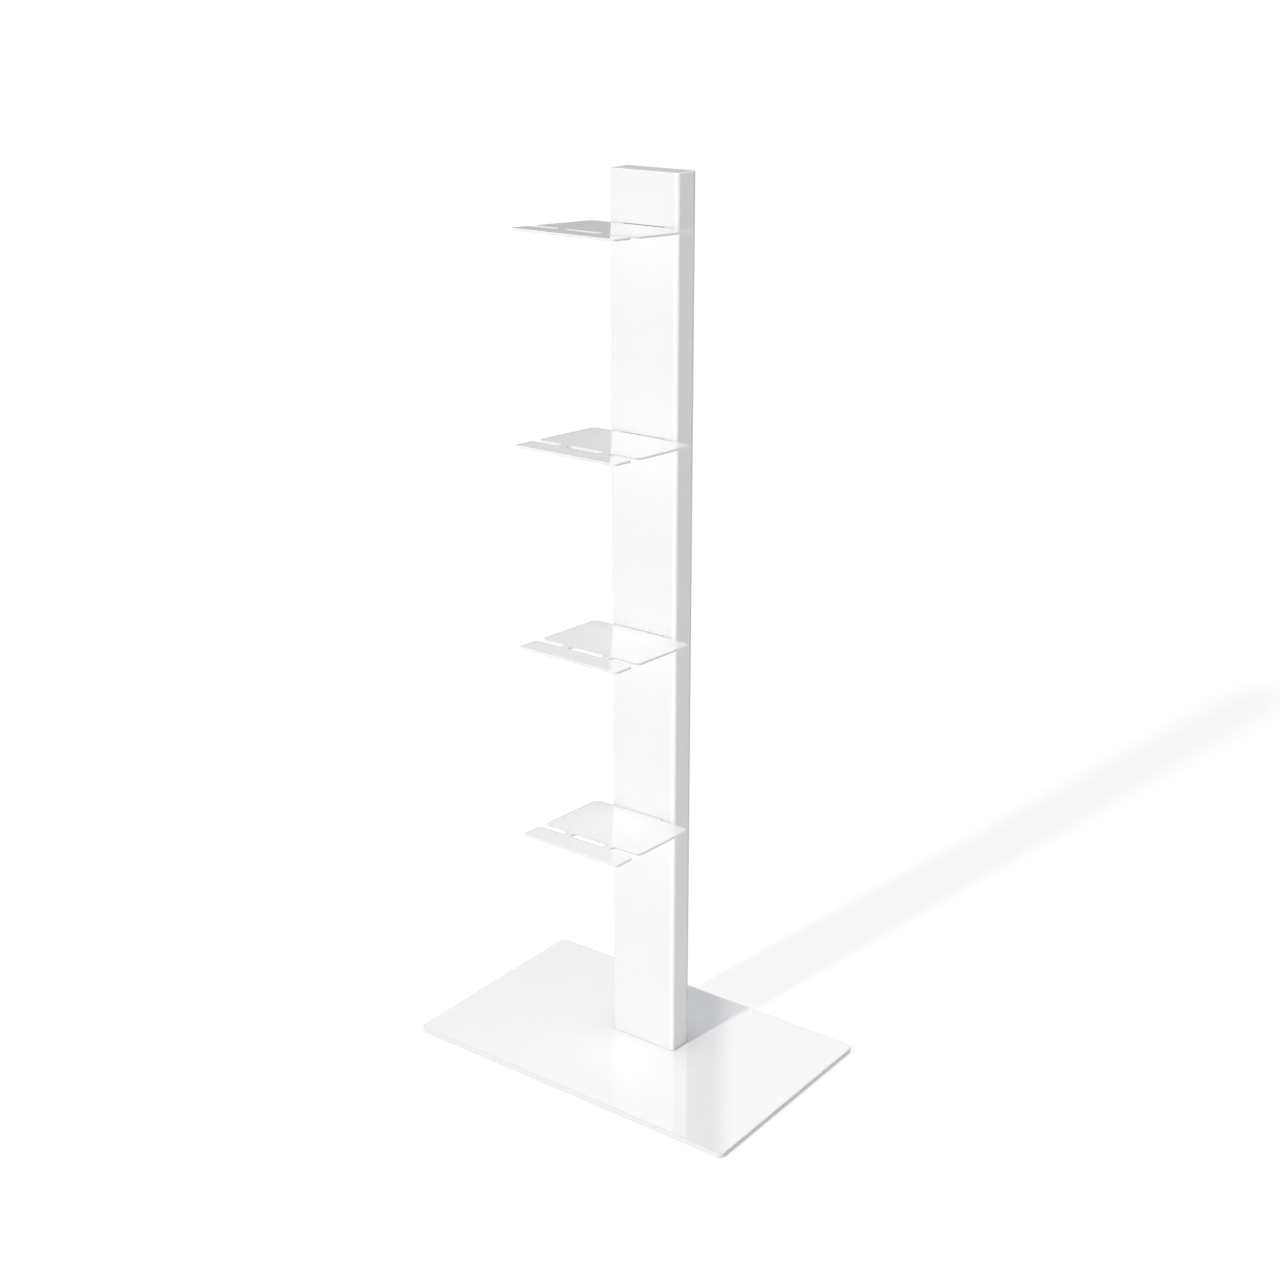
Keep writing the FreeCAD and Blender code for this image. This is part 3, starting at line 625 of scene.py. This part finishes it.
def onShelf(number, local):
    # Sheet to part: turned by the tilt about the rear edge, then lifted to its place on the column.
    tilt = math.radians(plug["tilt"])
    x, y, z = np.asarray(local, float).reshape(-1, 3).T
    turnedY = y * math.cos(tilt) + z * math.sin(tilt)
    turnedZ = z * math.cos(tilt) - y * math.sin(tilt)
    return rearEdge(number) + np.stack([x, turnedY, turnedZ], -1)


sheetPoints, sheetFaces, sheetShade = makeSheet()
sheets = []
for number in range(plug["count"]):
    points = onShelf(number, sheetPoints)
    sheet = makePiece(f"shelf_sheet_{number + 1}", points, sheetFaces, {"paintedShade": sheetShade})
    sheet.data.materials.append(whiteCoat)
    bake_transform(sheet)
    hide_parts(f"shelf_{number + 1}", f"front_flap_{number + 1}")
    sheets.append(sheet)
print("shelves:", plug["count"], "sheets of", len(sheetFaces), "faces")

# The solids that stay: screws, foot block, sockets and pads take the finish of their slot.
for subpart in frame["record"]["subparts"]:
    solid = frame["nodes"][subpart["node"]]
    if not solid.hide_render:
        solid.data.materials.clear()
        solid.data.materials.append(plainFinishes[subpart["material_slot"]])
print("solids kept:", sum(not solid.hide_render for solid in frame["nodes"].values()))

# Studio: a pale floor, an even light from all round, one lamp from the front and one from above,
# and a grey card that the gloss mirrors. Places and sizes are in metres.
studio = {
    "floorColour": "#999999", "floorGlow": 0.49, "floorWhite": 0.21, "floorReach": 60,
    "skyColour": "#f7faff", "skyStrength": 0.37, "whiteColour": "#ffffff",
}
card = {
    "end": (-1.68, 2.667),  # its right end on the floor plan; it faces the object
    "across": (-0.02, 0.04, 0.2, 0.22, 1.1),  # from the right end leftwards
    "heights": (0.2, 0.95, 1.45, 1.55, 1.65, 5),
    "tonesUp": (0.46, 0.46, 0.58, 0.67),  # at the lower heights, all across
    "tonesAcross": (1, 0.02, 0.02, 0.7, 0.7),  # at the upper heights, from the right end
}
lamps = {
    "key_light": {"energy": 1.6, "colour": "#fffdf9", "spread": 3, "comesFrom": (-0.12, -1, 0.65)},
    "top_light": {"energy": 1.12, "colour": "#fcfdff", "spread": 6, "comesFrom": (0, 0, 1)},
}


def seenRays(tree):
    # 1 for rays from the camera, a mirror or a clear surface, 0 for the light that falls on things
    path = addNode(tree, "ShaderNodeLightPath", {})
    first = addNode(tree, "ShaderNodeMath", {"operation": "MAXIMUM"},
                    [(0, path.outputs["Is Camera Ray"]), (1, path.outputs["Is Glossy Ray"])])
    return addNode(tree, "ShaderNodeMath", {"operation": "MAXIMUM"},
                   [(0, first.outputs[0]), (1, path.outputs["Is Transmission Ray"])]).outputs[0]


def makeFloor():
    reach = studio["floorReach"]
    mesh = bpy.data.meshes.new("studio_floor")
    corners = [(-reach, -reach, 0), (reach, -reach, 0), (reach, reach, 0), (-reach, reach, 0)]
    mesh.from_pydata(corners, [], [(0, 1, 2, 3)])
    material, tree = newMaterial("matt_white_floor_paper")
    paper = addNode(tree, "ShaderNodeBsdfDiffuse", {"Color": linear(studio["floorColour"])})
    lift = addNode(tree, "ShaderNodeMath",
                   {"operation": "MULTIPLY_ADD", 1: studio["floorWhite"], 2: studio["floorGlow"]},
                   [(0, seenRays(tree))])
    glow = addNode(tree, "ShaderNodeEmission", {}, [("Strength", lift.outputs[0])])
    both = addNode(tree, "ShaderNodeAddShader", {}, [(0, paper.outputs[0]), (1, glow.outputs[0])])
    addNode(tree, "ShaderNodeOutputMaterial", {}, [("Surface", both.outputs[0])])
    mesh.materials.append(material)
    newObject("studio_floor", mesh)


def makeCard():
    # An upright grid from its right end leftwards, seen only in the object's gloss. Its tone grows with
    # height, and its upper part has a dark strip by the right end.
    end = np.array(card["end"] + (0,))
    left = np.array([-end[1], end[0], 0]) / np.linalg.norm(end)
    across, up = np.meshgrid(card["across"], card["heights"])
    points = end + across[..., None] * left + up[..., None] * (0, 0, 1)
    lowerTones = np.repeat(np.array(card["tonesUp"])[:, None], len(card["across"]), 1)
    upperTones = np.tile(card["tonesAcross"], (len(card["heights"]) - len(card["tonesUp"]), 1))
    tone = np.concatenate([lowerTones, upperTones])
    mesh = bpy.data.meshes.new("grey_card")
    mesh.from_pydata(points.reshape(-1, 3).tolist(), [], quads(numbered(tone.shape)).tolist())
    mesh.attributes.new("tone", "FLOAT", "POINT").data.foreach_set("value", tone.ravel())
    material, tree = newMaterial("matt_grey_card")
    shade = addNode(tree, "ShaderNodeAttribute", {"attribute_name": "tone"})
    glow = addNode(tree, "ShaderNodeEmission", {}, [("Strength", shade.outputs["Fac"])])
    addNode(tree, "ShaderNodeOutputMaterial", {}, [("Surface", glow.outputs[0])])
    mesh.materials.append(material)
    board = newObject("grey_card", mesh)
    board.visible_camera = False
    board.visible_diffuse = False
    board.visible_shadow = False
    board.visible_transmission = False


def addLamps():
    passed = bpy.data.collections.new("sheets_that_lamps_pass")  # so that the column's front is evenly lit
    for sheet in sheets:
        passed.objects.link(sheet)
    for item in passed.collection_objects:
        item.light_linking.link_state = "EXCLUDE"
    for name, look in lamps.items():
        lamp = bpy.data.lights.new(name, "SUN")
        lamp.energy = look["energy"]
        lamp.angle = math.radians(look["spread"])
        lamp.color = linear(look["colour"])[:3]
        sun = newObject(name, lamp)
        sun.rotation_euler = Vector(look["comesFrom"]).to_track_quat("Z", "Y").to_euler()
        sun.light_linking.blocker_collection = passed


def lightRoom():
    # a soft light on things, and plain white where the camera or a mirror sees the room itself
    world = bpy.data.worlds.new("studio_room")
    world.use_nodes = True
    bpy.context.scene.world = world
    tree = world.node_tree
    tree.nodes.clear()
    ambient = addNode(tree, "ShaderNodeBackground",
                      {"Color": linear(studio["skyColour"]), "Strength": studio["skyStrength"]})
    white = addNode(tree, "ShaderNodeBackground", {"Color": linear(studio["whiteColour"]), "Strength": 1.0})
    either = addNode(tree, "ShaderNodeMixShader", {},
                     [(0, seenRays(tree)), (1, ambient.outputs[0]), (2, white.outputs[0])])
    addNode(tree, "ShaderNodeOutputWorld", {}, [("Surface", either.outputs[0])])


makeFloor()
makeCard()
addLamps()
lightRoom()

# Camera: fitted to the corners of the base, the column and the shelves.
lens = {
    "length": 54.9, "sensor": 36,  # mm
    "place": (1.0264, -1.3621, 1.0455), "farEnd": 200,  # metres
    "pitch": 19.89, "turn": 36.83,  # degrees down, and to the left
}
camera = newObject("camera", bpy.data.cameras.new("camera"))
camera.data.lens = lens["length"]
camera.data.sensor_width = lens["sensor"]
camera.data.clip_end = lens["farEnd"]
camera.location = lens["place"]
camera.rotation_euler = (math.radians(90 - lens["pitch"]), 0, math.radians(lens["turn"]))
bpy.context.scene.camera = camera
bpy.context.scene.view_settings.view_transform = "Standard"
print("studio and camera set")
